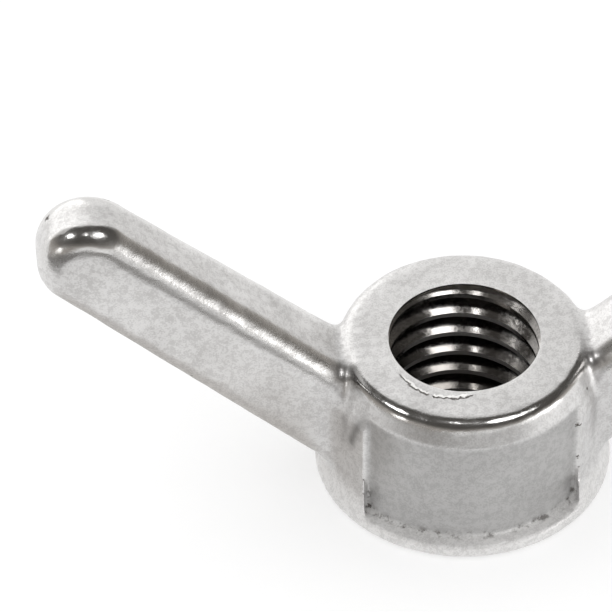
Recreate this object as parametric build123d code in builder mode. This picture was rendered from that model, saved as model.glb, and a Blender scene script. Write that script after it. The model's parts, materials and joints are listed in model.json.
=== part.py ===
from build123d import *
from math import cos, isclose, radians, sin
import os

# Cast stainless steel wing nut for an M10 coarse thread, in millimetres, +Z up.
# The origin is the centre of the flat bearing face.  The wings rise along +X and -X, and
# the two recessed flats of the hub face +Y and -Y.

# Bore, at the size that is drilled for tapping.
thread_diameter = 10.0
thread_pitch = 1.5
bore_edge_break = 0.15

# Hub: a round wall that spreads to the foot like a bell, and a sloping shoulder with a rounded rim.
hub_height = 9.2
wall_radius = 7.65
shoulder_drop = 2.4
shoulder_width = 0.9
shoulder_blend = 1.0
rim_round = 0.8
foot_flare = 0.65
foot_height = 0.6
foot_slope_height = 1.8
foot_edge_break = 0.3
foot_lip_round = 0.3
foot_blend = 6.0

# Recessed flats, which follow the wall and stand on a ledge of the foot.
recess_depth = 0.35
ledge_height = 0.95
recess_width = 11.72
recess_mouth_round = 0.12

# Wings: straight bars, a little deeper and thicker at the root than at the round tip.  The round of
# the root stands on the base and stays wing_root_clearance below the top of the hub.  The flare of
# the root ends just under the wall, so that the two surfaces cross and don't only touch.
wing_angle = 42.3
wing_length = 21.77
wing_root_inset = 3.07
wing_root_clearance = 3.4
wing_tip_radius = 2.78
wing_root_thickness = 5.26
wing_tip_thickness = 4.24
wing_edge_round = 1.35
wing_edge_share = 0.94
wing_flare_radius = 1.0
wing_root_sink = 0.03
wing_notch_round = 0.6

bore_radius = (thread_diameter - thread_pitch) / 2
foot_radius = wall_radius + foot_flare
rim_radius = wall_radius - shoulder_width
recess_radius = wall_radius - recess_depth
root_x = wall_radius - wing_root_inset
wing_root_radius = (hub_height - wing_root_clearance) / 2
tip_x = root_x + wing_length * cos(radians(wing_angle))
wing_end_x = tip_x + wing_tip_radius
wing_axis = Plane(
    origin=(root_x, 0, wing_root_radius),
    x_dir=(cos(radians(wing_angle)), 0, sin(radians(wing_angle))),
    z_dir=(0, -1, 0),
)
thickness_slope = (wing_root_thickness - wing_tip_thickness) / (tip_x - root_x)


def wing_half_thickness(x):
    """Half the thickness of the wing at a distance x from the axis of the bore."""
    return (wing_tip_thickness + thickness_slope * (tip_x - x)) / 2


# Hub, turned from its half section.
foot_corner = (foot_radius, 0)
hub_corners = {
    (foot_radius, foot_height): foot_lip_round,
    (wall_radius, foot_height + foot_slope_height): foot_blend,
    (wall_radius, hub_height - shoulder_drop): shoulder_blend,
    (rim_radius, hub_height): rim_round,
}
with BuildPart() as hub:
    with BuildSketch(Plane.YZ) as half_section:
        with BuildLine():
            Polyline((0, 0), foot_corner, *hub_corners, (0, hub_height), close=True)
        make_face()
        for corner, radius in hub_corners.items():
            fillet(half_section.vertices().sort_by_distance(corner)[0], radius)
        chamfer(half_section.vertices().sort_by_distance(foot_corner)[0], foot_edge_break)
    revolve(axis=Axis.Z)

# One wing: its side outline and its plan cut each other out, the long edges are rounded,
# and what reaches into the hub is cut off behind the flare.
with BuildPart() as wing:
    with BuildSketch(wing_axis):
        Circle(wing_root_radius)
        with Locations((wing_length, 0)):
            Circle(wing_tip_radius)
        make_hull()
    extrude(amount=foot_radius, both=True)
    with BuildSketch() as plan:
        with BuildLine():
            Polyline(
                (0, wing_half_thickness(0)),
                (wing_end_x, wing_half_thickness(wing_end_x)),
                (wing_end_x, -wing_half_thickness(wing_end_x)),
                (0, -wing_half_thickness(0)),
                close=True,
            )
        make_face()
        Circle(wall_radius - wing_root_sink)
        fillet(plan.vertices().filter_by(lambda v: root_x < v.X < foot_radius), wing_flare_radius)
    extrude(amount=2 * wing_length, mode=Mode.INTERSECT)
    long_edges = wing.edges().filter_by(GeomType.LINE).filter_by(
        lambda e: e.center().X > foot_radius and abs(e.center().Y) > wing_half_thickness(wing_end_x) / 2
    )
    fillet(long_edges, min(wing_edge_round, wing_edge_share * wing_half_thickness(wing_end_x)))
    split(bisect_by=Plane.YZ.offset((recess_width / 2 + rim_radius) / 2), keep=Keep.TOP)

with BuildPart() as wing_nut:
    add(hub.part)
    add(wing.part)
    mirror(wing.part, about=Plane.YZ)
    shoulder = wing_nut.faces().filter_by(GeomType.CONE).sort_by(Axis.Z)[-1]
    wing_roots = shoulder.edges().filter_by(lambda e: e.geom_type in (GeomType.ELLIPSE, GeomType.BSPLINE))
    fillet(wing_roots, wing_notch_round)
    # The recesses: all that lies round the wall and between the flats' sides, with round mouths.
    with BuildSketch(Plane.XY.offset(ledge_height)) as recesses:
        Circle(2 * foot_radius)
        Circle(wall_radius, mode=Mode.SUBTRACT)
        Rectangle(recess_width, 2 * foot_radius)
        Circle(recess_radius, mode=Mode.SUBTRACT)
        mouth_corners = recesses.vertices().group_by(SortBy.DISTANCE)[1]
        fillet(mouth_corners, recess_mouth_round)
        Rectangle(recess_width + 2 * recess_mouth_round, 2 * foot_radius, mode=Mode.INTERSECT)
    extrude(amount=hub_height, mode=Mode.SUBTRACT)
    with Locations((0, 0, hub_height)):
        Hole(bore_radius)
    bore_rims = wing_nut.edges().filter_by(GeomType.CIRCLE).filter_by(lambda e: isclose(e.radius, bore_radius))
    chamfer(bore_rims, bore_edge_break)
wing_nut.part.label = "wing_nut"

os.makedirs("parts", exist_ok=True)
export_step(wing_nut.part, "parts/wing_nut.step")
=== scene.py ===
import json
import logging
from dataclasses import dataclass, field
from enum import Enum
from math import cos, pi, radians, sin, tau

import bmesh
import bpy
import numpy as np
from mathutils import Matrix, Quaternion, Vector, noise


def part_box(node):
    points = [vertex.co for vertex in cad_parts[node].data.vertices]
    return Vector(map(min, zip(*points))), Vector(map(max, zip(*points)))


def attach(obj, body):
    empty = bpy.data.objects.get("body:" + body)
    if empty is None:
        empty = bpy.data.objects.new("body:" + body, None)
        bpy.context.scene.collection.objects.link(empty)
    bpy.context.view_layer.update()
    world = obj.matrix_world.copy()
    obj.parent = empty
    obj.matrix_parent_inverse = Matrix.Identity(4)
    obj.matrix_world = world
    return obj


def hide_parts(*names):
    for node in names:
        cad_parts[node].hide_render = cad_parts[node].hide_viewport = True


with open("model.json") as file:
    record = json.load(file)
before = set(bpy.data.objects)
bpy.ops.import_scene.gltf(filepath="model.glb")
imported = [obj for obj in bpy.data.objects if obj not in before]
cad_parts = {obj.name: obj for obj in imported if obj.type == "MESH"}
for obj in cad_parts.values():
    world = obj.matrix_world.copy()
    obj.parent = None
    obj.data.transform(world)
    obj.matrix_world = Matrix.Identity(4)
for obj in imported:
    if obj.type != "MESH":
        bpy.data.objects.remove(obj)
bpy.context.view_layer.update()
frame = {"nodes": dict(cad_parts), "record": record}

Colour = tuple[float, float, float, float]
Point = tuple[float, float, float]
Corner = tuple[float, float]
Span = tuple[float, float]

MM = 0.001
WHITE: Colour = (1.0, 1.0, 1.0, 1.0)
log = logging.getLogger("wing_nut")


class Skin(Enum):
    """The finish that a face of the casting has, by its place in the list of materials."""

    CAST = 0
    THREAD = 1


class Mask(Enum):
    """The values that the mesh carries for its finish and for its painted light and shade, by the
    name of the attribute.
    """

    POLISH = "edge_polish"
    # The recess floors: a duller finish, with painted shade in their colour.
    DULL_SHADED_RECESS = "dull_shaded_recess"
    # Painted shade in the concave corners.
    CORNER_SHADE = "corner"
    # Lighter skin: partly the wear of tumbling, partly painted light.
    TUMBLED_AND_LIT = "tumbled_and_lit"
    MATTE = "matte"
    # Painted shade running down from the rim beside the left wing.
    FOLD_SHADE = "fold_shade"


# ------------------------------------------------------------------ mesh tools


def smooth_step(values: np.ndarray, low: float, high: float) -> np.ndarray:
    """Bring values to 0 at low and 1 at high, softly in between."""
    share = np.clip((values - low) / (high - low), 0.0, 1.0)
    return share * share * (3.0 - 2.0 * share)


def read_rows(items: bpy.types.bpy_prop_collection, name: str) -> np.ndarray:
    """Read a property of three numbers from each item of a mesh.

    Args:
        items: The mesh's vertices, normals or polygons.
        name: The property's name.

    Returns:
        One row of x, y, z an item.
    """
    flat = np.empty(len(items) * 3, dtype=np.float32)
    items.foreach_get(name, flat)
    return flat.reshape(-1, 3).astype(float)


def mesh_points(mesh: bpy.types.Mesh) -> np.ndarray:
    """Read the vertices of a mesh, one row a vertex, in metres."""
    return read_rows(mesh.vertices, "co")


def vertex_normals(mesh: bpy.types.Mesh) -> np.ndarray:
    """Read the normal of each vertex, one row a vertex."""
    return read_rows(mesh.vertex_normals, "vector")


def set_mesh_points(mesh: bpy.types.Mesh, points: np.ndarray) -> None:
    """Move the vertices of a mesh to the rows of points, in metres."""
    mesh.vertices.foreach_set("co", points.ravel())
    mesh.update()


def edge_pairs(mesh: bpy.types.Mesh) -> np.ndarray:
    """Read the edges of a mesh.

    Args:
        mesh: The mesh that is read.

    Returns:
        One row of two vertex numbers an edge.
    """
    pairs = np.empty(len(mesh.edges) * 2, dtype=np.int64)
    mesh.edges.foreach_get("vertices", pairs)
    return pairs.reshape(-1, 2)


def neighbour_mean(values: np.ndarray, pairs: np.ndarray) -> np.ndarray:
    """Average each vertex's neighbours.

    Args:
        values: One row a vertex.
        pairs: The edges, as rows of two vertex numbers.

    Returns:
        The mean over the neighbours of each vertex, one row a vertex.
    """
    total = np.zeros_like(values)
    np.add.at(total, pairs[:, 0], values[pairs[:, 1]])
    np.add.at(total, pairs[:, 1], values[pairs[:, 0]])
    count = np.bincount(pairs.ravel(), minlength=len(values)).clip(1)
    return total / (count[:, None] if values.ndim > 1 else count)


def smoothed(values: np.ndarray, pairs: np.ndarray, rounds: int) -> np.ndarray:
    """Bring each vertex's value halfway to its neighbours' mean, round after round.

    Args:
        values: One row a vertex.
        pairs: The edges, as rows of two vertex numbers.
        rounds: How many times this is done.

    Returns:
        The smoothed values, one row a vertex.
    """
    for _ in range(rounds):
        values = (values + neighbour_mean(values, pairs)) / 2
    return values


def store_mask(mesh: bpy.types.Mesh, mask: Mask, values: np.ndarray) -> None:
    """Store a value between 0 and 1 a vertex under the mask's name."""
    layer = mesh.attributes.new(mask.value, "FLOAT", "POINT")
    layer.data.foreach_set("value", np.clip(values, 0.0, 1.0).astype(np.float32))


def add_object(name: str, mesh: bpy.types.Mesh) -> bpy.types.Object:
    """Put a mesh in the scene.

    Args:
        name: The new object's name.
        mesh: The mesh.

    Returns:
        The object that shows the mesh.
    """
    piece = bpy.data.objects.new(name, mesh)
    bpy.context.scene.collection.objects.link(piece)
    return piece


def apply_modifiers(piece: bpy.types.Object) -> None:
    """Replace an object's mesh by what its modifiers make of it.

    Args:
        piece: The object, which has no modifiers left afterwards.
    """
    graph = bpy.context.evaluated_depsgraph_get()
    shaped = bpy.data.meshes.new_from_object(piece.evaluated_get(graph))
    piece.modifiers.clear()
    piece.data = shaped


def _combine(piece: bpy.types.Object, tool: bpy.types.Object, operation: str) -> None:
    """Change a piece by a tool object, and remove the tool.

    Args:
        piece: The piece.
        tool: The closed object that works on it.
        operation: What happens, by the Boolean modifier's own name for it.
    """
    step = piece.modifiers.new("combine", "BOOLEAN")
    step.operation = operation
    step.solver = "MANIFOLD"
    step.object = tool
    apply_modifiers(piece)
    bpy.data.objects.remove(tool)


def cut_away(piece: bpy.types.Object, tool: bpy.types.Object) -> None:
    """Cut a tool object out of a piece."""
    _combine(piece, tool, "DIFFERENCE")


def trim_away(piece: bpy.types.Object, tool: bpy.types.Object) -> None:
    """Keep only what a piece shares with a tool object."""
    _combine(piece, tool, "INTERSECT")


def put_together(piece: bpy.types.Object, other: bpy.types.Object) -> None:
    """Put another object's faces into a piece's mesh, and remove the other object.

    Args:
        piece: The piece.
        other: The object whose faces it takes up.
    """
    both = bmesh.new()
    both.from_mesh(piece.data)
    both.from_mesh(other.data)
    both.to_mesh(piece.data)
    both.free()
    bpy.data.objects.remove(other)


def stacked_rings(name: str, rings: np.ndarray, closed: bool = True) -> bpy.types.Object:
    """Build an object from closed rings of points, one above the other.

    Args:
        name: The object's name.
        rings: An array of ring, point and x, y, z, from the lowest ring to the highest.
        closed: Whether the lowest and the highest ring are filled.

    Returns:
        The object.
    """
    count, size = rings.shape[:2]
    faces = []
    for ring in range(count - 1):
        low, high = ring * size, (ring + 1) * size
        for i in range(size):
            j = (i + 1) % size
            faces.append((low + i, low + j, high + j, high + i))
    if closed:
        faces.append(tuple(reversed(range(size))))
        faces.append(tuple(range((count - 1) * size, count * size)))
    mesh = bpy.data.meshes.new(name)
    mesh.from_pydata(rings.reshape(-1, 3).tolist(), [], faces)
    return add_object(name, mesh)


# ------------------------------------------------------------------ node tools


class NodeBuilder:
    """Adds nodes to a tree and links them, one call a node."""

    def __init__(self, tree: bpy.types.NodeTree) -> None:
        """Start on a tree, with its nodes removed."""
        self.tree = tree
        tree.nodes.clear()

    def _feed(self, socket: bpy.types.NodeSocket, value: object) -> None:
        """Link an output to a socket, or set the socket to a plain value.

        Args:
            socket: The input that is fed.
            value: The output socket or the plain value.
        """
        if isinstance(value, bpy.types.NodeSocket):
            self.tree.links.new(value, socket)
        else:
            socket.default_value = value

    def add(self, kind: str, inputs: dict | None = None, **settings: object) -> bpy.types.Node:
        """Add a node.

        Args:
            kind: The node's type, without its ShaderNode prefix.
            inputs: Values or output sockets for the node's inputs, by name or number.
            settings: The node's own properties.

        Returns:
            The node.
        """
        node = self.tree.nodes.new(kind if kind.startswith("Node") else "ShaderNode" + kind)
        for name, value in settings.items():
            setattr(node, name, value)
        for key, value in (inputs or {}).items():
            self._feed(node.inputs[key], value)
        return node

    def place(self, group: bpy.types.NodeTree, **inputs: object) -> bpy.types.Node:
        """Place a shared effect with values of its own.

        Args:
            group: The effect.
            inputs: Values or output sockets, by the input's name in lower case.

        Returns:
            The group node.
        """
        node = self.tree.nodes.new("ShaderNodeGroup")
        node.node_tree = group
        for key, value in inputs.items():
            self._feed(node.inputs[key.replace("_", " ").title()], value)
        return node

    def mask(self, mask: Mask) -> bpy.types.NodeSocket:
        """Read a mask that the mesh carries."""
        return self.add("Attribute", attribute_name=mask.value).outputs["Fac"]

    def math(self, operation: str, *values: object) -> bpy.types.NodeSocket:
        """Add a Math node on one to three values or sockets and return its output."""
        return self.add("Math", dict(enumerate(values)), operation=operation).outputs[0]

    def ramp(self, value: bpy.types.NodeSocket, low: float, high: float, to_low: float = 0.0,
             to_high: float = 1.0) -> bpy.types.NodeSocket:
        """Bring a value from one range to another, smoothly and within its ends.

        Args:
            value: The value.
            low: The value that becomes to_low.
            high: The value that becomes to_high.
            to_low: The lowest result.
            to_high: The highest result.

        Returns:
            The output socket.
        """
        ends = {
            "Value": value, "From Min": low, "From Max": high, "To Min": to_low, "To Max": to_high,
        }
        return self.add("MapRange", ends, interpolation_type="SMOOTHSTEP").outputs["Result"]

    def mix_colour(self, share: object, one: object, two: object) -> bpy.types.NodeSocket:
        """Mix two colours.

        Args:
            share: How much of the second colour shows, from 0 to 1.
            one: The first colour.
            two: The second colour.

        Returns:
            The output socket.
        """
        node = self.add("Mix", {0: share}, data_type="RGBA")
        self._feed(node.inputs[6], one)
        self._feed(node.inputs[7], two)
        return node.outputs[2]

    def noise(self, vector: bpy.types.NodeSocket, scale: object, detail: float,
              roughness: float) -> bpy.types.NodeSocket:
        """Add a Noise Texture and return its value between 0 and 1."""
        inputs = {"Vector": vector, "Scale": scale, "Detail": detail, "Roughness": roughness}
        return self.add("TexNoise", inputs).outputs["Fac"]


def new_group(
    name: str, inputs: dict[str, tuple], outputs: tuple[str, ...]
) -> tuple[bpy.types.NodeTree, NodeBuilder, bpy.types.Node, bpy.types.Node]:
    """Make an empty shader node group.

    Args:
        name: The group's name.
        inputs: Socket type and default value, by input name; a vector's default may be None.
        outputs: The names of the outputs, which are plain numbers.

    Returns:
        The group, its builder, and its input and output nodes.
    """
    group = bpy.data.node_groups.new(name, "ShaderNodeTree")
    for socket, (kind, default) in inputs.items():
        made = group.interface.new_socket(socket, in_out="INPUT", socket_type="NodeSocket" + kind)
        if default is not None:
            made.default_value = default
    for socket in outputs:
        group.interface.new_socket(socket, in_out="OUTPUT", socket_type="NodeSocketFloat")
    nodes = NodeBuilder(group)
    return group, nodes, nodes.add("NodeGroupInput"), nodes.add("NodeGroupOutput")


@dataclass
class SharedEffects:
    """The effects that the finishes place, each one node group.

    The sizes here are those that stay the same wherever an effect is placed.
    """

    grain_share: float = 0.4
    speckle_span: Span = (0.82, 1.14)
    cloud_span: Span = (0.3, 0.7)
    ragged_scale: float = 9000.0
    ragged_span: Span = (0.3, 0.7)
    ragged_reach: Span = (0.3, 1.6)
    burr_wander: float = 0.50 * MM
    burr_wander_scale: float = 2600.0
    burr_gap_scale: float = 1500.0
    burr_gap_span: Span = (0.36, 0.5)
    burr_least_swell: float = 0.3
    burr_line: Span = (0.06 * MM, 0.12 * MM)
    burr_foot: Span = (0.03 * MM, 0.08 * MM)
    burr_foot_away: float = 0.14 * MM
    cast_grain: bpy.types.NodeTree = field(init=False)
    pits: bpy.types.NodeTree = field(init=False)
    mark: bpy.types.NodeTree = field(init=False)
    burr: bpy.types.NodeTree = field(init=False)

    def __post_init__(self) -> None:
        """Build the groups."""
        self.cast_grain = self._build_cast_grain()
        self.pits = self._build_pits()
        self.mark = self._build_mark()
        self.burr = self._build_burr()

    def _build_cast_grain(self) -> bpy.types.NodeTree:
        """Build the skin of a casting after tumbling: fine lumps and grain, and slow clouds.

        Returns:
            The group, with a height, fine speckles and wide clouds.
        """
        group, nodes, given, out = new_group(
            "cast_grain",
            {
                "Vector": ("Vector", None),
                "Lump Scale": ("Float", 2500.0),
                "Grain Scale": ("Float", 10000.0),
                "Cloud Scale": ("Float", 350.0),
            },
            ("Height", "Speckle", "Cloud"),
        )
        place = given.outputs["Vector"]
        lumps = nodes.noise(place, given.outputs["Lump Scale"], detail=2.0, roughness=0.55)
        grain = nodes.noise(place, given.outputs["Grain Scale"], detail=2.0, roughness=0.6)
        cloud = nodes.noise(place, given.outputs["Cloud Scale"], detail=3.0, roughness=0.55)
        height = nodes.math("MULTIPLY_ADD", grain, self.grain_share, lumps)
        speckle = nodes.ramp(nodes.math("ADD", grain, lumps), *self.speckle_span)
        nodes.tree.links.new(height, out.inputs["Height"])
        nodes.tree.links.new(speckle, out.inputs["Speckle"])
        nodes.tree.links.new(nodes.ramp(cloud, *self.cloud_span), out.inputs["Cloud"])
        return group

    @staticmethod
    def _build_pits() -> bpy.types.NodeTree:
        """Build small scattered pits.

        Returns:
            The group, with a mask that is 1 in a pit.
        """
        group, nodes, given, out = new_group(
            "pits",
            {
                "Vector": ("Vector", None),
                "Scale": ("Float", 700.0),
                "Size": ("Float", 0.1),
                "Share": ("Float", 0.3),
            },
            ("Mask",),
        )
        cell = nodes.add(
            "TexVoronoi", {"Vector": given.outputs["Vector"], "Scale": given.outputs["Scale"]}
        )
        near = nodes.math("LESS_THAN", cell.outputs["Distance"], given.outputs["Size"])
        chance = nodes.add("SeparateColor", {"Color": cell.outputs["Color"]}).outputs["Red"]
        chosen = nodes.math("LESS_THAN", chance, given.outputs["Share"])
        nodes.tree.links.new(nodes.math("MULTIPLY", near, chosen), out.inputs["Mask"])
        return group

    def _build_mark(self) -> bpy.types.NodeTree:
        """Build one ragged mark round a place.

        Returns:
            The group, with a mask that is 1 in the mark.
        """
        group, nodes, given, out = new_group(
            "mark",
            {
                "Vector": ("Vector", None),
                "Place": ("Vector", (0.0, 0.0, 0.0)),
                "Radius": ("Float", 0.1 * MM),
            },
            ("Mask",),
        )
        place = given.outputs["Vector"]
        away = nodes.add(
            "VectorMath", {0: place, 1: given.outputs["Place"]}, operation="DISTANCE"
        ).outputs["Value"]
        ragged = nodes.noise(place, self.ragged_scale, detail=2.0, roughness=0.6)
        ragged = nodes.ramp(ragged, *self.ragged_span, *self.ragged_reach)
        reach = nodes.math("MULTIPLY", given.outputs["Radius"], ragged)
        nodes.tree.links.new(nodes.math("LESS_THAN", away, reach), out.inputs["Mask"])
        return group

    def _build_burr(self) -> bpy.types.NodeTree:
        """Build the burr round a part of the bore: a ragged line with a painted highlight, and a
        painted shadow at its foot.

        Returns:
            The group, with a mask of the painted highlight on the line and one of the painted
            shadow at its foot.
        """
        group, nodes, given, out = new_group(
            "burr",
            {
                "Vector": ("Vector", None),
                "Low": ("Float", 9.1 * MM),
                "Inner": ("Float", 4.16 * MM),
                "Outer": ("Float", 4.80 * MM),
                "First": ("Float", radians(-151.0)),
                "Last": ("Float", radians(-87.0)),
            },
            ("Line", "Shade"),
        )
        place = given.outputs["Vector"]
        low, inner, outer = (given.outputs[name] for name in ("Low", "Inner", "Outer"))
        first, last = given.outputs["First"], given.outputs["Last"]
        x, y, z = nodes.add("SeparateXYZ", {"Vector": place}).outputs
        radius = nodes.math("SQRT", nodes.math("MULTIPLY_ADD", x, x, nodes.math("MULTIPLY", y, y)))
        turn = nodes.math("SUBTRACT", nodes.math("ARCTAN2", y, x), first)
        along = nodes.math("DIVIDE", turn, nodes.math("SUBTRACT", last, first))
        along = nodes.math("MINIMUM", nodes.math("MAXIMUM", along, 0.0), 1.0)
        bow = nodes.math("SINE", nodes.math("MULTIPLY", along, pi))
        swell = nodes.math("SQRT", nodes.math("ABSOLUTE", bow))
        edge = nodes.math("MULTIPLY_ADD", nodes.math("SUBTRACT", outer, inner), swell, inner)
        wave = nodes.noise(place, self.burr_wander_scale, detail=2.0, roughness=0.6)
        wave = nodes.math("SUBTRACT", wave, 0.5)
        edge = nodes.math("MULTIPLY_ADD", wave, self.burr_wander, edge)
        away = nodes.math("SUBTRACT", radius, edge)
        gaps = nodes.noise(place, self.burr_gap_scale, detail=1.0, roughness=0.5)
        present = nodes.math(
            "MULTIPLY", nodes.math("GREATER_THAN", z, low),
            nodes.math("GREATER_THAN", swell, self.burr_least_swell),
        )
        present = nodes.math("MULTIPLY", present, nodes.ramp(gaps, *self.burr_gap_span))
        line = nodes.ramp(nodes.math("ABSOLUTE", away), *self.burr_line, to_low=1.0, to_high=0.0)
        foot = nodes.math("ABSOLUTE", nodes.math("SUBTRACT", away, self.burr_foot_away))
        shade = nodes.ramp(foot, *self.burr_foot, to_low=1.0, to_high=0.0)
        nodes.tree.links.new(nodes.math("MULTIPLY", line, present), out.inputs["Line"])
        nodes.tree.links.new(nodes.math("MULTIPLY", shade, present), out.inputs["Shade"])
        return group


# ------------------------------------------------------------------ finishes


def new_material(name: str) -> tuple[bpy.types.Material, NodeBuilder]:
    """Make an empty material.

    Args:
        name: The material's name.

    Returns:
        The material and a builder on its nodes.
    """
    material = bpy.data.materials.new(name)
    material.use_nodes = True
    return material, NodeBuilder(material.node_tree)


def metal_surface(nodes: NodeBuilder, inputs: dict, height: bpy.types.NodeSocket,
                  bump_height: float) -> None:
    """Close a metal's nodes with the shader and its bump.

    Args:
        nodes: The material's builder.
        inputs: Values or output sockets for the shader, by name.
        height: The height of the skin.
        bump_height: How high a height of 1 stands, in metres.
    """
    bump = nodes.add("Bump", {"Height": height, "Strength": 1.0, "Distance": bump_height})
    shader = nodes.add("BsdfPrincipled", inputs | {"Normal": bump.outputs[0]})
    nodes.add("OutputMaterial", {"Surface": shader.outputs[0]})


def glowing_surface(nodes: NodeBuilder, tint: Colour, strength: object) -> None:
    """Close the nodes of a part of the studio that only glows, by its tint and strength."""
    glow = nodes.add("Emission", {"Color": tint, "Strength": strength})
    nodes.add("OutputMaterial", {"Surface": glow.outputs[0]})


@dataclass(frozen=True)
class CastSteelFinish:
    """Tumbled cast stainless steel: satin skin, polished upper edges, duller recesses. What faces
    up, the wings and the foot are lighter, partly by wear and partly as painted light. Painted
    shade darkens the recesses, the concave corners, a line beside the left wing and the foot of
    the burr, whose line carries a painted highlight.

    Each mark is the place and the radius of one small blemish, in millimetres.
    """

    light: Colour = (0.70, 0.695, 0.69, 1.0)
    dark: Colour = (0.52, 0.51, 0.505, 1.0)
    # Lighter copies of the colours: partly the wear of tumbling, partly painted light.
    lit_tumbled_light: Colour = (0.77, 0.76, 0.75, 1.0)
    lit_tumbled_dark: Colour = (0.57, 0.56, 0.55, 1.0)
    # Painted shade: darker copies of the colours for the recess floors.
    recess_shade_light: Colour = (0.50, 0.495, 0.49, 1.0)
    recess_shade_dark: Colour = (0.39, 0.385, 0.38, 1.0)
    polished: Colour = (0.70, 0.69, 0.675, 1.0)
    # Painted highlight on the burr's line.
    burr_highlight: Colour = (0.97, 0.96, 0.94, 1.0)
    # Painted shade running down from the rim beside the left wing.
    fold_shade_dark: Colour = (0.13, 0.125, 0.12, 1.0)
    # Colour of the pits and marks, and of the painted shade in the corners and at the foot of the
    # burr.
    grime_and_shade: Colour = (0.13, 0.12, 0.11, 1.0)
    cloud_weight: float = 0.4
    speckle_weight: float = 0.6
    fold_shade_share: float = 0.75
    satin_roughness: float = 0.36
    sheltered_roughness: float = 0.46
    polished_roughness: float = 0.15
    speckle_gloss: float = 0.05
    matte_share: float = 0.8
    bump_height: float = 0.010 * MM
    polish_calm: float = 0.75
    burr_rise: float = 2.0
    # How much painted shadow lies at the foot of the burr.
    burr_shadow_share: float = 0.9
    pit_depth: float = 4.0
    pit_scale: float = 640.0
    pit_size: float = 0.055
    pit_share: float = 0.27
    # Painted shade in the concave corners, broken into specks by noise.
    corner_scale: float = 2600.0
    corner_span: Span = (0.5, 0.68)
    corner_least: float = 0.12
    corner_most: float = 0.85
    marks: tuple[tuple[Point, float], ...] = (
        ((-5.63, -4.69, 1.16), 0.13), ((5.86, -4.62, 6.5), 0.14), ((5.9, -4.75, 4.0), 0.11),
        ((-22.75, 0.77, 19.41), 0.15), ((-19.38, 1.44, 19.8), 0.09), ((-19.1, 1.55, 19.52), 0.10),
        ((-18.84, 1.44, 19.39), 0.10), ((-19.6, 1.4, 19.9), 0.08),
    )

    def build(self, effects: SharedEffects) -> bpy.types.Material:
        """Build the material.

        Args:
            effects: The shared node groups.

        Returns:
            The material.
        """
        material, nodes = new_material("cast_stainless")
        place = nodes.add("TexCoord").outputs["Object"]
        grain = nodes.place(effects.cast_grain, vector=place)
        burr = nodes.place(effects.burr, vector=place)
        polish = nodes.mask(Mask.POLISH)
        dull_shaded_recess = nodes.mask(Mask.DULL_SHADED_RECESS)
        # Painted shadow at the foot of the burr.
        dirt_and_shade = nodes.math("MULTIPLY", burr.outputs["Shade"], self.burr_shadow_share)
        dirt_and_shade = nodes.math("MAXIMUM", self._dirt_and_shade(nodes, effects, place), dirt_and_shade)
        roughness = nodes.math(
            "MULTIPLY_ADD", grain.outputs["Speckle"], -self.speckle_gloss, self.satin_roughness
        )
        roughness = nodes.math(
            "MULTIPLY_ADD", dull_shaded_recess, self.sheltered_roughness - self.satin_roughness, roughness
        )
        roughness = nodes.math(
            "MULTIPLY_ADD", polish, self.polished_roughness - self.satin_roughness, roughness
        )
        calm = nodes.math("MULTIPLY_ADD", polish, -self.polish_calm, 1.0)
        height = nodes.math("MULTIPLY", grain.outputs["Height"], calm)
        height = nodes.math("MULTIPLY_ADD", burr.outputs["Line"], self.burr_rise, height)
        height = nodes.math("MULTIPLY_ADD", dirt_and_shade, -self.pit_depth, height)
        skin = {
            "Base Color": self._colour(nodes, grain, dull_shaded_recess, polish, burr.outputs["Line"], dirt_and_shade),
            "Metallic": nodes.math("MULTIPLY_ADD", nodes.mask(Mask.MATTE), -self.matte_share, 1.0),
            "Roughness": roughness,
        }
        metal_surface(nodes, skin, height, self.bump_height)
        return material

    def _colour(self, nodes: NodeBuilder, grain: bpy.types.Node, dull_shaded_recess: bpy.types.NodeSocket,
                polish: bpy.types.NodeSocket, burr: bpy.types.NodeSocket,
                dirt_and_shade: bpy.types.NodeSocket) -> bpy.types.NodeSocket:
        """Lay the colours over each other, from the bare skin to the pits, the marks and the
        painted shade.

        Args:
            nodes: The material's builder.
            grain: The placed cast grain.
            dull_shaded_recess: The mask of the recesses, which are duller and have painted shade
                in their colour.
            polish: The mask of the polished edges.
            burr: The mask of the line by the bore, which carries a painted highlight.
            dirt_and_shade: The mask of the pits, the marks, and the painted shade in the corners
                and at the foot of the burr.

        Returns:
            The colour.
        """
        speckle = nodes.math("MULTIPLY", grain.outputs["Speckle"], self.speckle_weight)
        cloudy = nodes.math("MULTIPLY_ADD", grain.outputs["Cloud"], self.cloud_weight, speckle)
        colour = nodes.mix_colour(cloudy, self.dark, self.light)
        # Partly the wear of tumbling, partly painted light.
        tumbled_and_lit = nodes.mix_colour(cloudy, self.lit_tumbled_dark, self.lit_tumbled_light)
        # Painted shade on the recess floors.
        recess_shaded = nodes.mix_colour(cloudy, self.recess_shade_dark, self.recess_shade_light)
        # Painted shade beside the left wing.
        fold_shade = nodes.math("MULTIPLY", nodes.mask(Mask.FOLD_SHADE), self.fold_shade_share)
        # The layers hold painted light, with the wear of tumbling, on what faces up, the wings and
        # the foot. They hold painted shade on the recesses, beside the left wing, in the corners
        # and at the burr's foot, and a painted highlight on the burr's line.
        layers = (
            (nodes.mask(Mask.TUMBLED_AND_LIT), tumbled_and_lit), (dull_shaded_recess, recess_shaded), (polish, self.polished),
            (fold_shade, self.fold_shade_dark), (burr, self.burr_highlight), (dirt_and_shade, self.grime_and_shade),
        )
        for share, layer in layers:
            colour = nodes.mix_colour(share, colour, layer)
        return colour

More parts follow.
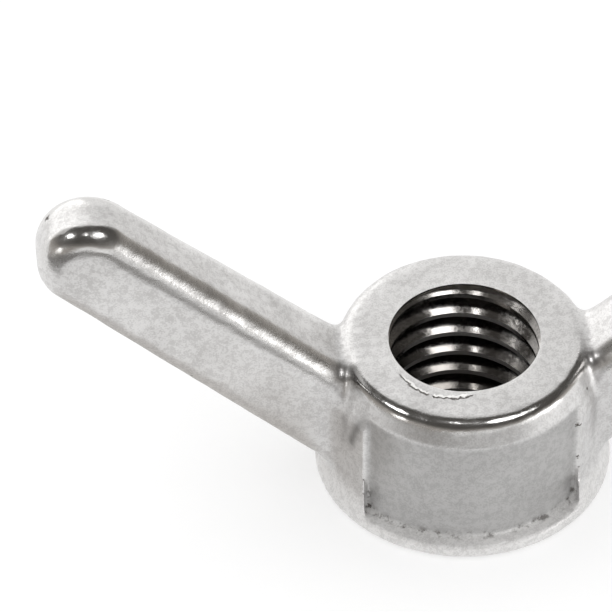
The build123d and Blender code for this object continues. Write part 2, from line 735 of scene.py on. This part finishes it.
    def _dirt_and_shade(self, nodes: NodeBuilder, effects: SharedEffects,
              place: bpy.types.NodeSocket) -> bpy.types.NodeSocket:
        """Gather the pits, the marks, and the painted shade in the concave corners, broken into
        specks.

        Args:
            nodes: The material's builder.
            effects: The shared node groups.
            place: The coordinates.

        Returns:
            The mask of the pits, the marks and the painted shade, from 0 to 1.
        """
        dirt_and_shade = nodes.place(
            effects.pits, vector=place, scale=self.pit_scale, size=self.pit_size,
            share=self.pit_share,
        ).outputs[0]
        for centre, radius in self.marks:
            spot = nodes.place(
                effects.mark, vector=place, place=tuple(v * MM for v in centre), radius=radius * MM
            )
            dirt_and_shade = nodes.math("MAXIMUM", dirt_and_shade, spot.outputs[0])
        # Painted shade in the concave corners, broken into specks.
        broken = nodes.noise(place, self.corner_scale, detail=3.0, roughness=0.6)
        broken = nodes.math("ADD", nodes.ramp(broken, *self.corner_span), self.corner_least)
        corner = nodes.math("MULTIPLY", nodes.mask(Mask.CORNER_SHADE), broken)
        return nodes.math("MAXIMUM", dirt_and_shade, nodes.math("MINIMUM", corner, self.corner_most))


@dataclass(frozen=True)
class CutThreadFinish:
    """The tapped thread: bright machined flanks, darker than the skin in the depth."""

    colour: Colour = (0.52, 0.50, 0.48, 1.0)
    shade: Colour = (0.40, 0.385, 0.37, 1.0)
    deep: Colour = (0.14, 0.13, 0.12, 1.0)
    deep_share: float = 0.9
    deep_span: Span = (1.0 * MM, 8.0 * MM)
    roughness: float = 0.12
    speckle_roughness: float = 0.08
    lump_scale: float = 900.0
    grain_scale: float = 5000.0
    bump_height: float = 0.003 * MM

    def build(self, effects: SharedEffects) -> bpy.types.Material:
        """Build the material.

        Args:
            effects: The shared node groups.

        Returns:
            The material.
        """
        material, nodes = new_material("cut_thread")
        place = nodes.add("TexCoord").outputs["Object"]
        grain = nodes.place(
            effects.cast_grain, vector=place, lump_scale=self.lump_scale,
            grain_scale=self.grain_scale,
        ).outputs
        level = nodes.add("SeparateXYZ", {"Vector": place}).outputs["Z"]
        depth = nodes.ramp(level, *self.deep_span, to_low=self.deep_share, to_high=0.0)
        bright = nodes.mix_colour(grain["Speckle"], self.shade, self.colour)
        flank = {
            "Base Color": nodes.mix_colour(depth, bright, self.deep),
            "Metallic": 1.0,
            "Roughness": nodes.math(
                "MULTIPLY_ADD", grain["Speckle"], self.speckle_roughness, self.roughness
            ),
        }
        metal_surface(nodes, flank, grain["Height"], self.bump_height)
        return material


# ------------------------------------------------------------------ the nut


@dataclass
class ThreadTap:
    """The solid that cuts the thread: a screw whose rows of points follow the helix.

    The flats, the rows and the start are shares of the pitch.
    """

    pitch: float = 1.5 * MM
    crest_radius: float = 4.19 * MM
    root_radius: float = 5.02 * MM
    crest_flat: float = 0.2
    root_flat: float = 0.14
    low: float = -0.6 * MM
    turns: int = 8
    columns: int = 144
    rows: tuple[float, ...] = (
        0.0, 0.06, 0.1, 0.14, 0.22, 0.31, 0.39, 0.43, 0.5, 0.57, 0.61, 0.69, 0.78, 0.86, 0.9, 0.94,
    )
    start: float = 0.70
    mouth_radius: float = 4.22 * MM
    land: float = 0.10 * MM
    overlap: float = 1.2
    clear: float = 1.0 * MM

    def depth(self, turn: np.ndarray) -> np.ndarray:
        """Give the thread's depth from 0 at its crest to 1 at its root.

        Args:
            turn: The place along the pitch, from 0 to 1, with the crest at 0.

        Returns:
            The depth at each place.
        """
        away = np.abs((turn + 0.5) % 1.0 - 0.5)
        flank = 0.5 - self.crest_flat / 2 - self.root_flat / 2
        return np.clip((away - self.crest_flat / 2) / flank, 0.0, 1.0)

    def build(self, mouth_height: float) -> bpy.types.Object:
        """Build the tap, which stops just under the mouth of the hole.

        Args:
            mouth_height: The height of the hole's mouth.

        Returns:
            The tap.
        """
        tap = self._build_screw()
        top = mouth_height - self.land
        trim = self._cylinder("tap_trim", self.overlap * self.root_radius, self.low, top)
        trim_away(tap, trim)
        return tap

    def build_mouth(self, mouth_height: float) -> bpy.types.Object:
        """Build the plain cylinder that opens the mouth above the thread."""
        low = mouth_height - self.overlap * self.land
        return self._cylinder("mouth", self.mouth_radius, low, mouth_height + self.clear)

    def _cylinder(self, name: str, radius: float, low: float, high: float) -> bpy.types.Object:
        """Build a plain upright cylinder on the axis.

        Args:
            name: The object's name.
            radius: Its radius.
            low: The height of its lower end.
            high: The height of its upper end.

        Returns:
            The cylinder.
        """
        angles = np.arange(self.columns) / self.columns * tau
        ring = np.stack([radius * np.cos(angles), radius * np.sin(angles)], axis=1)
        rings = [np.column_stack([ring, np.full(self.columns, z)]) for z in (low, high)]
        return stacked_rings(name, np.array(rings))

    def _build_screw(self) -> bpy.types.Object:
        """Build the screw: each row joins the row one turn higher where it comes round.

        Returns:
            The screw, longer than the hole at both ends.
        """
        steps, count = len(self.rows), self.columns
        angles = np.arange(count) / count * tau
        turn = np.concatenate([k + np.array(self.rows) for k in range(self.turns)])
        first = (self.low / self.pitch + self.start) % 1.0
        radius = self.crest_radius + (self.root_radius - self.crest_radius) * self.depth(turn)
        level = self.low + self.pitch * (turn[:, None] - first - 1.0 + angles[None, :] / tau)
        points = np.stack([
            radius[:, None] * np.cos(angles), radius[:, None] * np.sin(angles), level,
        ], axis=-1).reshape(-1, 3)
        faces = []
        for row in range(len(turn) - 1):
            for i in range(count):
                low, high = row * count + i, (row + 1) * count + i
                if i < count - 1:
                    faces.append((low, low + 1, high + 1, high))
                elif row + 1 + steps < len(turn):
                    faces.append((low, (row + steps) * count, (row + 1 + steps) * count, high))
        return self._close("thread_tap", points, faces)

    @staticmethod
    def _close(name: str, points: np.ndarray, faces: list[tuple]) -> bpy.types.Object:
        """Make an object of a tube and fill each of its open ends with a fan.

        Args:
            name: The object's name.
            points: The tube's points.
            faces: The tube's faces.

        Returns:
            The closed object.
        """
        shell = bmesh.new()
        made = [shell.verts.new(p) for p in points]
        for face in faces:
            shell.faces.new([made[i] for i in face])
        for vert in [v for v in shell.verts if not v.link_faces]:
            shell.verts.remove(vert)
        rim = [e for e in shell.edges if e.is_boundary]
        middle = sum(v.co.z for v in shell.verts) / len(shell.verts)
        for upper in (False, True):
            side = [e for e in rim if (e.verts[0].co.z > middle) is upper]
            heights = [e.verts[0].co.z for e in side]
            hub = shell.verts.new((0.0, 0.0, max(heights) if upper else min(heights)))
            for edge in side:
                shell.faces.new((edge.verts[0], edge.verts[1], hub))
        bmesh.ops.recalc_face_normals(shell, faces=shell.faces)
        mesh = bpy.data.meshes.new(name)
        shell.to_mesh(mesh)
        shell.free()
        return add_object(name, mesh)


@dataclass
class HubForm:
    """The places on the hub that have a look of their own, painted light and painted shade among
    them.
    """

    wall_radius: float = 7.65 * MM
    recess_radius: float = 7.3 * MM
    recess_half_width: float = 5.86 * MM
    recess_top: float = 7.7 * MM
    ledge_height: float = 0.95 * MM
    rim_inside: float = 5.6 * MM
    rim_low: float = 8.1 * MM
    rim_span: Span = (-2.0 * MM, 0.5 * MM)
    foot_top: float = 2.6 * MM
    edge: float = 0.12 * MM
    upward_span: Span = (0.1, 0.6)
    wing_fade: float = 1.3
    # How much lighter the wings and the foot are: partly wear, partly painted light.
    wing_lit_tumbling: float = 0.5
    foot_lit_tumbling: float = 0.9
    edge_polish: float = 0.25
    # The width and the path of the painted shade beside the left wing.
    fold_shade_width: float = 0.32 * MM
    fold_shade_line: tuple[Point, ...] = (
        (-6.35 * MM, -1.8 * MM, 9.05 * MM), (-6.3 * MM, -3.0 * MM, 8.9 * MM),
        (-6.11 * MM, -4.15 * MM, 8.73 * MM), (-6.2 * MM, -4.45 * MM, 7.6 * MM),
        (-6.62 * MM, -3.8 * MM, 5.4 * MM),
    )

    def recess(self, points: np.ndarray) -> np.ndarray:
        """Find the floor of the two recesses, which is duller and has painted shade in its colour.

        Args:
            points: One row a point.

        Returns:
            1 on the floor and 0 elsewhere, one value a point.
        """
        edge = self.edge
        out = np.hypot(points[:, 0], points[:, 1])
        inside = 1.0 - smooth_step(out, self.recess_radius + 0.5 * edge, self.wall_radius - edge)
        wide = smooth_step(self.recess_half_width - np.abs(points[:, 0]), -edge, edge)
        low = smooth_step(points[:, 2], self.ledge_height, self.ledge_height + 2 * edge)
        high = 1.0 - smooth_step(points[:, 2], self.recess_top - edge, self.recess_top + edge)
        return wide * (out > self.rim_inside) * low * inside * high

    def handled(self, points: np.ndarray) -> np.ndarray:
        """Find the rim and the wings, where handling and tumbling reach.

        Args:
            points: One row a point.

        Returns:
            1 where they reach and 0 elsewhere, one value a point.
        """
        rim = smooth_step(points[:, 2], self.rim_low, self.rim_low + 4 * self.edge)
        rim = rim * (1.0 - smooth_step(points[:, 1], *self.rim_span))
        side = np.abs(points[:, 0])
        wing = smooth_step(side, self.wall_radius, self.wall_radius + 7 * self.edge)
        wing = wing * smooth_step(points[:, 2], self.foot_top, 2 * self.foot_top)
        return np.maximum(rim, wing)

    def tumbled_and_lit(self, points: np.ndarray, normals: np.ndarray) -> np.ndarray:
        """Find where the colour is lighter, partly from the wear of tumbling and partly as painted
        light: what faces up, the wings and the foot.

        Args:
            points: One row a point.
            normals: The skin's direction at each point.

        Returns:
            How much lighter it is, from 0 to 1, one value a point.
        """
        upward = smooth_step(normals[:, 2], *self.upward_span)
        side = np.abs(points[:, 0])
        wing = smooth_step(side, self.wall_radius, self.wing_fade * self.wall_radius)
        sides = np.maximum(self.wing_lit_tumbling * wing, self.foot_lit_tumbling * self.foot(points))
        return np.maximum(upward, sides)

    def mouth_edges(self, points: np.ndarray) -> np.ndarray:
        """Find the upright edges of the recesses.

        Args:
            points: One row a point.

        Returns:
            How polished they are, from 0 to 1, one value a point.
        """
        away = np.abs(np.abs(points[:, 0]) - self.recess_half_width)
        tall = smooth_step(points[:, 2], self.ledge_height, self.foot_top)
        return self.edge_polish * (1.0 - smooth_step(away, self.edge, 3 * self.edge)) * tall

    def fold_shade(self, points: np.ndarray) -> np.ndarray:
        """Find the painted shade that runs down from the rim beside the left wing.

        Args:
            points: One row a point.

        Returns:
            1 along its line, fading to 0 on both sides, one value a point.
        """
        line = np.array(self.fold_shade_line)
        away = np.full(len(points), np.inf)
        for low, high in zip(line[:-1], line[1:]):
            step = high - low
            share = np.clip((points - low) @ step / (step @ step), 0.0, 1.0)
            gap = np.linalg.norm(points - low - share[:, None] * step, axis=1)
            away = np.minimum(away, gap)
        return np.exp(-((away / self.fold_shade_width) ** 2))

    def foot(self, points: np.ndarray) -> np.ndarray:
        """Give 1 on the foot and 0 above it, one value a point."""
        return 1.0 - smooth_step(points[:, 2], 0.5 * self.foot_top, self.foot_top)


@dataclass
class Burr:
    """The crescent that the tap's chamfer left at the front of the bore, and its burr.

    The first and the last place are in degrees round the bore from +X.
    """

    inner: float = 4.16 * MM
    outer: float = 4.74 * MM
    depth: float = 0.03 * MM
    dish_edge: float = 0.15 * MM
    ridge: float = 0.03 * MM
    ridge_width: float = 0.14 * MM
    ragged_mean: float = 0.7
    ragged_swing: float = 1.4
    ragged_most: float = 2.0
    ragged_steps: float = 0.45
    ragged_place: tuple[float, float] = (3.0, 1.0)
    top_span: Span = (0.2 * MM, 0.05 * MM)
    first: float = 209.0
    last: float = 273.0

    def lift(self, points: np.ndarray, height: float) -> np.ndarray:
        """Give how far each point of the top face moves up or down.

        Args:
            points: The points, one row a point.
            height: The height of the top face.

        Returns:
            The move of each point, in metres.
        """
        out = np.hypot(points[:, 0], points[:, 1])
        turn = np.degrees(np.arctan2(points[:, 1], points[:, 0])) % 360.0
        along = np.clip((turn - self.first) / (self.last - self.first), 0.0, 1.0)
        fade = np.sqrt(np.sin(along * pi).clip(0.0))
        edge = self.inner + (self.outer - self.inner) * fade
        on_top = smooth_step(points[:, 2], *(height - below for below in self.top_span))
        steps, place = self.ragged_steps, self.ragged_place
        ragged = np.array([noise.noise(Vector((t * steps, *place))) for t in turn])
        ragged = np.clip(self.ragged_mean + self.ragged_swing * ragged, 0.0, self.ragged_most)
        dish = -self.depth * fade * smooth_step(edge - out, 0.0, self.dish_edge)
        bump = self.ridge * fade * np.exp(-((out - edge) / self.ridge_width) ** 2)
        return (dish + bump * ragged) * on_top


@dataclass
class CastBody:
    """The whole nut as one casting, with the thread cut into it.

    The form of the skin's lumps is their roughness, the step between their sizes and how many
    sizes there are. The bend at a point is counted in voxels, and is above 0 on an outer edge.
    """

    node: str = "wing_nut"
    name: str = "wing_nut_casting"
    voxel: float = 0.158 * MM
    smoothing: int = 3
    softness: float = 0.5
    plug_radius: float = 4.8 * MM
    plug_sides: int = 64
    skin_lumps: float = 0.025 * MM
    skin_lump_size: float = 2.2 * MM
    skin_lump_form: tuple[float, float, int] = (0.8, 2.0, 3)
    lumps_above: float = 0.3 * MM
    lumps_past_thread: float = 1.2
    even_rounds: int = 3
    bend_rounds: int = 4
    worn_span: Span = (-0.05, 0.3)
    polish_span: Span = (0.006, 0.045)
    corner_span: Span = (0.03, 0.09)
    thread_margin: float = 0.01 * MM
    thread_slope: float = 0.96
    crease: float = 28.0
    tap: ThreadTap = field(default_factory=ThreadTap)
    hub: HubForm = field(default_factory=HubForm)
    burr: Burr = field(default_factory=Burr)

    @property
    def hub_height(self) -> float:
        """The height of the hub's top face, twice that of the thread's own place, in metres."""
        mount = next(m for m in frame["record"]["mounts"] if m["name"] == "thread")
        return 2.0 * mount["pos_m"][2]

    def build(self) -> bpy.types.Object:
        """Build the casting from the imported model's own solid.

        Returns:
            The casting as one object that stands for the CAD node.
        """
        piece = add_object(self.name, frame["nodes"][self.node].data.copy())
        piece.data.name = self.name
        self._fill_bore(piece)
        self._remesh(piece)
        self._roughen(piece)
        cut_away(piece, self.tap.build(self.hub_height))
        cut_away(piece, self.tap.build_mouth(self.hub_height))
        self._mark(piece.data)
        return piece

    def _fill_bore(self, piece: bpy.types.Object) -> None:
        """Put a plug in the plain bore, so that the thread is cut into solid metal.

        Args:
            piece: The casting, to which the remesh joins the plug.
        """
        angles = np.arange(self.plug_sides) / self.plug_sides * tau
        ring = np.stack([np.cos(angles), np.sin(angles), np.zeros_like(angles)], axis=1)
        levels = (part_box(self.node)[0][2], self.hub_height)
        rings = np.array([ring * self.plug_radius + np.array((0.0, 0.0, z)) for z in levels])
        put_together(piece, stacked_rings("bore_plug", rings))

    def _remesh(self, piece: bpy.types.Object) -> None:
        """Give the casting even small faces, and round every edge a little, as tumbling does.

        Args:
            piece: The casting.
        """
        step = piece.modifiers.new("even", "REMESH")
        step.mode = "VOXEL"
        step.voxel_size = self.voxel
        soft = piece.modifiers.new("soft", "SMOOTH")
        soft.iterations = self.smoothing
        soft.factor = self.softness
        apply_modifiers(piece)

    def _roughen(self, piece: bpy.types.Object) -> None:
        """Move the skin in and out by soft lumps, and raise the burr.

        Args:
            piece: The casting, whose foot and mouth stay true.
        """
        points = mesh_points(piece.data)
        normals = vertex_normals(piece.data)
        size, form = self.skin_lump_size, self.skin_lump_form
        lumps = np.array([noise.fractal(Vector(p) / size, *form) for p in points])
        off_foot = np.clip(points[:, 2] / self.lumps_above, 0.0, 1.0)
        out = np.hypot(points[:, 0], points[:, 1])
        root = self.tap.root_radius
        off_mouth = smooth_step(out, root, self.lumps_past_thread * root)
        moved = points + normals * (lumps * off_foot * off_mouth * self.skin_lumps)[:, None]
        moved[:, 2] += self.burr.lift(points, self.hub_height)
        set_mesh_points(piece.data, moved)

    def _mark(self, mesh: bpy.types.Mesh) -> None:
        """Store the masks of the finish: where each point is worn to a polish, duller or matte,
        and where painted light and painted shade fall.

        Args:
            mesh: The casting's mesh.
        """
        points = mesh_points(mesh)
        pairs = edge_pairs(mesh)
        normals = vertex_normals(mesh)
        even = smoothed(points, pairs, self.even_rounds)
        bend = np.einsum("ij,ij->i", even - neighbour_mean(even, pairs), normals) / self.voxel
        bend = smoothed(bend, pairs, self.bend_rounds)
        faces_up = smooth_step(normals[:, 2], *self.worn_span)
        worn = np.maximum(faces_up * self.hub.handled(points), self.hub.mouth_edges(points))
        store_mask(mesh, Mask.POLISH, smooth_step(bend, *self.polish_span) * worn)
        # A duller finish and painted shade on the recess floors.
        store_mask(mesh, Mask.DULL_SHADED_RECESS, self.hub.recess(points))
        # Painted shade in the concave corners.
        store_mask(mesh, Mask.CORNER_SHADE, smooth_step(-bend, *self.corner_span))
        # Partly the wear of tumbling, partly painted light on what faces up, the wings and the
        # foot.
        store_mask(mesh, Mask.TUMBLED_AND_LIT, self.hub.tumbled_and_lit(points, normals))
        store_mask(mesh, Mask.MATTE, self.hub.foot(points))
        # Painted shade beside the left wing.
        store_mask(mesh, Mask.FOLD_SHADE, self.hub.fold_shade(points))

    def dress(self, piece: bpy.types.Object, cast: bpy.types.Material,
              thread: bpy.types.Material) -> None:
        """Give the casting its finishes and its place in the frame.

        Args:
            piece: The casting.
            cast: The finish of the skin.
            thread: The finish of the cut thread.
        """
        mesh = piece.data
        mesh.materials.clear()
        mesh.materials.append(cast)
        mesh.materials.append(thread)
        centres = read_rows(mesh.polygons, "center")
        facing = read_rows(mesh.polygons, "normal")
        near = np.hypot(centres[:, 0], centres[:, 1]) < self.tap.root_radius + self.thread_margin
        inward = (facing[:, :2] * centres[:, :2]).sum(axis=1) < 0
        cut = near & inward & (np.abs(facing[:, 2]) < self.thread_slope)
        skins = np.where(cut, Skin.THREAD.value, Skin.CAST.value).astype(np.int32)
        mesh.polygons.foreach_set("material_index", skins)
        mesh.polygons.foreach_set("use_smooth", np.ones(len(mesh.polygons), dtype=bool))
        mesh.set_sharp_from_angle(angle=radians(self.crease))
        mesh.update()
        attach(piece, "root")
        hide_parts(self.node)


# ------------------------------------------------------------------ the studio


@dataclass(frozen=True)
class SoftLamp:
    """A rectangular soft light that faces the nut and shows as a highlight on its metal."""

    name: str
    toward: Point
    width: float
    height: float
    radiance: float
    distance: float = 0.42

    def build(self) -> None:
        """Hang the lamp in its direction from the nut."""
        lamp = bpy.data.lights.new(self.name, "AREA")
        lamp.shape = "RECTANGLE"
        lamp.size, lamp.size_y = self.width, self.height
        lamp.energy = self.radiance * pi * self.width * self.height
        holder = bpy.data.objects.new(self.name, lamp)
        away = Vector(self.toward).normalized()
        holder.location = away * self.distance
        holder.rotation_mode = "QUATERNION"
        holder.rotation_quaternion = (-away).to_track_quat("-Z", "Y")
        holder.visible_diffuse = False
        bpy.context.scene.collection.objects.link(holder)


def flat_piece(name: str, near: Corner, far: Corner, level: float) -> bpy.types.Object:
    """Lay a flat rectangle in the scene.

    Args:
        name: The object's name.
        near: The x and y of its near left corner.
        far: The x and y of its far right corner.
        level: Its height.

    Returns:
        The object.
    """
    (x0, y0), (x1, y1) = near, far
    corners = [(x0, y0, level), (x1, y0, level), (x1, y1, level), (x0, y1, level)]
    mesh = bpy.data.meshes.new(name)
    mesh.from_pydata(corners, [], [(0, 1, 2, 3)])
    return add_object(name, mesh)


def show_to_gloss_only(piece: bpy.types.Object) -> None:
    """Keep a piece of the studio out of all but the reflections in gloss.

    Args:
        piece: The piece, which isn't part of the nut.
    """
    piece.visible_camera = False
    piece.visible_diffuse = False
    piece.visible_shadow = False


@dataclass
class DarkCanopy:
    """The dark room above the lights, which only reflections show.

    Its lower edge is given by the lowest elevation at some azimuths, in degrees. Azimuth 0
    is +X, to the right, and 90 is +Y, behind the nut.
    """

    radius: float = 0.5
    low_shade: float = 0.42
    high_shade: float = 0.08
    shade_span: Span = (0.15, 0.6)
    tint: Colour = (1.0, 0.94, 0.87, 1.0)
    edge: tuple[tuple[int, int], ...] = (
        (0, 3), (38, 4), (52, 48), (70, 60), (110, 60), (130, 45), (150, 14), (190, 0),
        (243, 0), (256, 12), (290, 12), (316, 10), (326, 17), (344, 17), (352, 4), (360, 3),
    )
    steps: int = 180
    rows: int = 24
    top_share: float = 0.995

    def build(self) -> bpy.types.Object:
        """Build the canopy.

        Returns:
            The canopy, unseen by the camera and without a shadow.
        """
        stops, lowest = np.array(self.edge, dtype=float).T
        azimuths = np.arange(self.steps) / self.steps * tau
        low = np.radians(np.interp(np.degrees(azimuths), stops, lowest))
        rings = []
        for share in np.linspace(0.0, self.top_share, self.rows):
            rise = low + (pi / 2 - low) * share
            out = np.cos(rise)
            rings.append(
                np.stack([np.cos(azimuths) * out, np.sin(azimuths) * out, np.sin(rise)], axis=1)
            )
        canopy = stacked_rings("dark_canopy", np.array(rings) * self.radius, closed=False)
        material, nodes = new_material("canopy_cloth")
        parts = nodes.add("SeparateXYZ", {0: nodes.add("TexCoord").outputs["Object"]})
        ends = (share * self.radius for share in self.shade_span)
        shade = nodes.ramp(parts.outputs["Z"], *ends, self.low_shade, self.high_shade)
        glowing_surface(nodes, self.tint, shade)
        canopy.data.materials.append(material)
        show_to_gloss_only(canopy)
        return canopy


@dataclass(frozen=True)
class FloorCard:
    """A card that lies on the floor and shows only in reflections.

    The near corner and the far corner are x and y, and the shade is how light the card is.
    """

    name: str
    near: Corner
    far: Corner
    shade: float
    tint: Colour = (1.0, 0.97, 0.94, 1.0)
    lift: float = 0.2 * MM

    def build(self) -> bpy.types.Object:
        """Build the card.

        Returns:
            The card, unseen by the camera and without a shadow.
        """
        material, nodes = new_material(self.name)
        glowing_surface(nodes, self.tint, self.shade)
        card = flat_piece(self.name, self.near, self.far, self.lift)
        card.data.materials.append(material)
        show_to_gloss_only(card)
        return card


@dataclass
class Studio:
    """The pale floor, the soft lights and the white world."""

    floor_half: float = 0.6
    floor_colour: Colour = (0.62, 0.62, 0.62, 1.0)
    floor_lift: float = 0.43
    lift_span: Span = (5.5 * MM, 7.7 * MM)
    world_level: float = 1.05
    canopy: DarkCanopy = field(default_factory=DarkCanopy)
    cards: tuple[FloorCard, ...] = (
        FloorCard("front_card", (-30 * MM, -130 * MM), (75 * MM, -31 * MM), 0.26),
        # A painted shadow: this card stands for the left wing's shadow on the floor, and shows
        # only in reflections.
        FloorCard("wing_shadow_card", (-27 * MM, -10 * MM), (-9 * MM, 7 * MM), 0.66),
        FloorCard("left_card", (-400 * MM, -300 * MM), (-27 * MM, -24 * MM), 0.20),
    )
    lamps: tuple[SoftLamp, ...] = (
        SoftLamp("right_lamp", (0.34, -0.27, 0.90), 0.14, 0.10, 4.8),
        SoftLamp("left_lamp", (-0.59, -0.11, 0.80), 0.10, 0.07, 6.0),
        SoftLamp("middle_lamp", (-0.075, -0.25, 0.965), 0.022, 0.03, 10.0),
        SoftLamp("far_lamp", (-0.82, -0.53, 0.22), 0.08, 0.07, 3.0),
        SoftLamp("side_glow", (0.89, -0.44, 0.12), 0.24, 0.09, 2.2),
        SoftLamp("back_glow", (-0.51, 0.72, 0.47), 0.46, 0.36, 0.6),
    )

    def build(self) -> None:
        """Build the floor, the world, the dark parts of the room and the lamps."""
        self._build_floor()
        self._build_world()
        self.canopy.build()
        for part in self.cards + self.lamps:
            part.build()

    def _build_floor(self) -> None:
        """Build the floor, which is white outside the nut's shadow."""
        half = self.floor_half
        floor = flat_piece("floor", (-half, -half), (half, half), 0.0)
        material, nodes = new_material("floor_paper")
        diffuse = nodes.add("BsdfDiffuse", {"Color": self.floor_colour})
        away = nodes.add(
            "VectorMath", {0: nodes.add("TexCoord").outputs["Object"]}, operation="LENGTH"
        ).outputs["Value"]
        lift = nodes.ramp(away, *self.lift_span, to_low=0.0, to_high=self.floor_lift)
        glow = nodes.add("Emission", {"Color": WHITE, "Strength": lift})
        lifted = nodes.add("AddShader", {0: diffuse.outputs[0], 1: glow.outputs[0]})
        nodes.add("OutputMaterial", {"Surface": lifted.outputs[0]})
        floor.data.materials.append(material)

    def _build_world(self) -> None:
        """Build the even white surroundings."""
        world = bpy.data.worlds.new("studio")
        bpy.context.scene.world = world
        world.use_nodes = True
        nodes = NodeBuilder(world.node_tree)
        room = nodes.add("Background", {"Color": WHITE, "Strength": self.world_level})
        white = nodes.add("Background", {"Color": WHITE, "Strength": 1.0})
        path = nodes.add("LightPath")
        seen = nodes.math("MAXIMUM", path.outputs["Is Camera Ray"], path.outputs["Is Glossy Ray"])
        both = nodes.add("MixShader", {0: seen, 1: room.outputs[0], 2: white.outputs[0]})
        nodes.add("OutputWorld", {"Surface": both.outputs[0]})


@dataclass
class Viewpoint:
    """The long lens that looks down on the nut from the front.

    The azimuth and the elevation are in degrees, the roll in radians and the lens in the
    millimetres that its name is known by, over the sensor's width.
    """

    subject: Point = (0.0, 0.0, 7.0 * MM)
    aim: Point = (-8.53 * MM, 3.19 * MM, 9.19 * MM)
    azimuth: float = -6.6
    elevation: float = 45.0
    distance: float = 0.35
    roll: float = -0.003
    lens: float = 370.6
    sensor: float = 36.0
    clip: Span = (0.01, 10.0)

    def build(self) -> bpy.types.Object:
        """Build the camera and make it the scene's own.

        Returns:
            The camera.
        """
        camera = bpy.data.cameras.new("camera")
        camera.lens = self.lens
        camera.sensor_width = self.sensor
        camera.clip_start, camera.clip_end = self.clip
        holder = bpy.data.objects.new("camera", camera)
        a, e = radians(self.azimuth), radians(self.elevation)
        back = Vector((sin(a) * cos(e), -cos(a) * cos(e), sin(e)))
        holder.location = Vector(self.subject) + back * self.distance
        look = (Vector(self.aim) - holder.location).to_track_quat("-Z", "Y")
        holder.rotation_mode = "QUATERNION"
        holder.rotation_quaternion = look @ Quaternion((0.0, 0.0, 1.0), self.roll)
        bpy.context.scene.collection.objects.link(holder)
        bpy.context.scene.camera = holder
        return holder


def main() -> None:
    """Build the nut, then the studio and the camera, and log how many triangles the nut has."""
    logging.basicConfig(level=logging.INFO, format="%(name)s: %(message)s")
    effects = SharedEffects()
    body = CastBody()
    casting = body.build()
    body.dress(casting, CastSteelFinish().build(effects), CutThreadFinish().build(effects))
    triangles = sum(len(polygon.vertices) - 2 for polygon in casting.data.polygons)
    log.info("%s: %d triangles", casting.name, triangles)
    Studio().build()
    Viewpoint().build()
    bpy.context.scene.view_settings.view_transform = "Standard"


if __name__ == "__main__":
    main()
